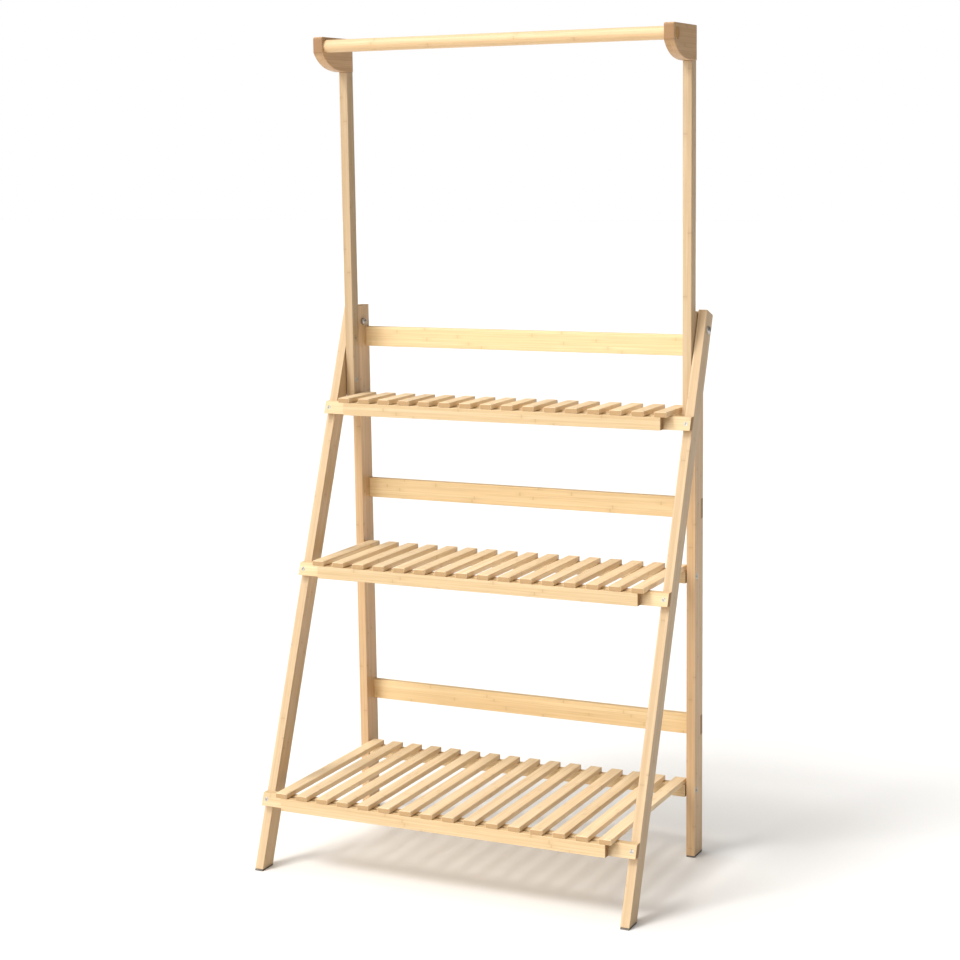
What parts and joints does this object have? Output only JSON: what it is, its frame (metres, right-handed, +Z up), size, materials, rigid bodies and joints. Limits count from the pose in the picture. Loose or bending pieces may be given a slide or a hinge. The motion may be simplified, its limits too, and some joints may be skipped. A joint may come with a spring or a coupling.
{
  "type": "ladder shelf",
  "caption": "Folding bamboo ladder shelf: slatted shelves that deepen downwards between leaning front legs and upright rear legs, with a round hanging rod above.",
  "frame": {"origin": "on the floor, at the centre of the footprint", "axes": "+Z up, +Y towards the back, +X to the right seen from the front"},
  "size_m": [0.708, 0.4001, 1.436],
  "materials": {
    "bamboo_post": "satin lacquered bamboo, vertical strips",
    "bamboo_rail": "satin lacquered bamboo",
    "bamboo_slat": "satin lacquered bamboo, pale",
    "bamboo_bracket": "satin lacquered bamboo, darker",
    "bamboo_rod": "satin lacquered bamboo, turned",
    "steel": "dull nickel-plated steel",
    "foot_pad": "matt anti-slip pad"
  },
  "bodies": {
    "rear_frame": {"back_rail_bottom": "bamboo_rail", "back_rail_middle": "bamboo_rail", "back_rail_top": "bamboo_rail", "barrel_nut_lower_left": "steel", "barrel_nut_lower_right": "steel", "barrel_nut_upper_left": "steel", "barrel_nut_upper_right": "steel", "bracket_screw_left": "steel", "bracket_screw_right": "steel", "fold_bolt_left": "steel", "fold_bolt_right": "steel", "fold_nut_left": "steel", "fold_nut_right": "steel", "fold_washer_left": "steel", "fold_washer_right": "steel", "foot_pad_rear_left": "foot_pad", "foot_pad_rear_right": "foot_pad", "hanging_rod": "bamboo_rod", "rail_screw_bottom_left": "steel", "rail_screw_bottom_right": "steel", "rail_screw_middle_left": "steel", "rail_screw_middle_right": "steel", "rear_leg_left": "bamboo_post", "rear_leg_right": "bamboo_post", "rod_bracket_left": "bamboo_bracket", "rod_bracket_right": "bamboo_bracket", "rod_screw_left": "steel", "rod_screw_right": "steel", "shelf_pivot_screw_bottom_left": "steel", "shelf_pivot_screw_bottom_right": "steel", "shelf_pivot_screw_middle_left": "steel", "shelf_pivot_screw_middle_right": "steel", "shelf_pivot_screw_top_left": "steel", "shelf_pivot_screw_top_right": "steel", "upright_bolt_lower_left": "bamboo_post", "upright_bolt_lower_right": "bamboo_post", "upright_bolt_upper_left": "bamboo_post", "upright_bolt_upper_right": "bamboo_post", "upright_left": "bamboo_post", "upright_right": "bamboo_post"},
    "front_frame": {"crossbar_bottom": "bamboo_rail", "crossbar_middle": "bamboo_rail", "crossbar_screw_bottom_left": "steel", "crossbar_screw_bottom_right": "steel", "crossbar_screw_middle_left": "steel", "crossbar_screw_middle_right": "steel", "crossbar_screw_top_left": "steel", "crossbar_screw_top_right": "steel", "crossbar_top": "bamboo_rail", "foot_pad_front_left": "foot_pad", "foot_pad_front_right": "foot_pad", "front_leg_left": "bamboo_post", "front_leg_right": "bamboo_post"},
    "top_shelf": {"shelf_apron_top": "bamboo_rail", "shelf_slats_top": "bamboo_slat"},
    "middle_shelf": {"shelf_apron_middle": "bamboo_rail", "shelf_slats_middle": "bamboo_slat"},
    "bottom_shelf": {"shelf_apron_bottom": "bamboo_rail", "shelf_slats_bottom": "bamboo_slat"}
  },
  "joints": [
    {"name": "front_frame_fold", "type": "hinge", "parent": "rear_frame", "child": "front_frame", "pos_m": [0, 0.174, 0.93], "axis": [1, 0, 0], "range_deg": [0, 19]},
    {"name": "top_shelf_flip", "type": "hinge", "parent": "rear_frame", "child": "top_shelf", "pos_m": [0, 0.168, 0.783], "axis": [-1, 0, 0], "range_deg": [0, 90]},
    {"name": "middle_shelf_flip", "type": "hinge", "parent": "rear_frame", "child": "middle_shelf", "pos_m": [0, 0.168, 0.505], "axis": [-1, 0, 0], "range_deg": [0, 90]},
    {"name": "bottom_shelf_flip", "type": "hinge", "parent": "rear_frame", "child": "bottom_shelf", "pos_m": [0, 0.168, 0.122], "axis": [-1, 0, 0], "range_deg": [0, 90]}
  ]
}
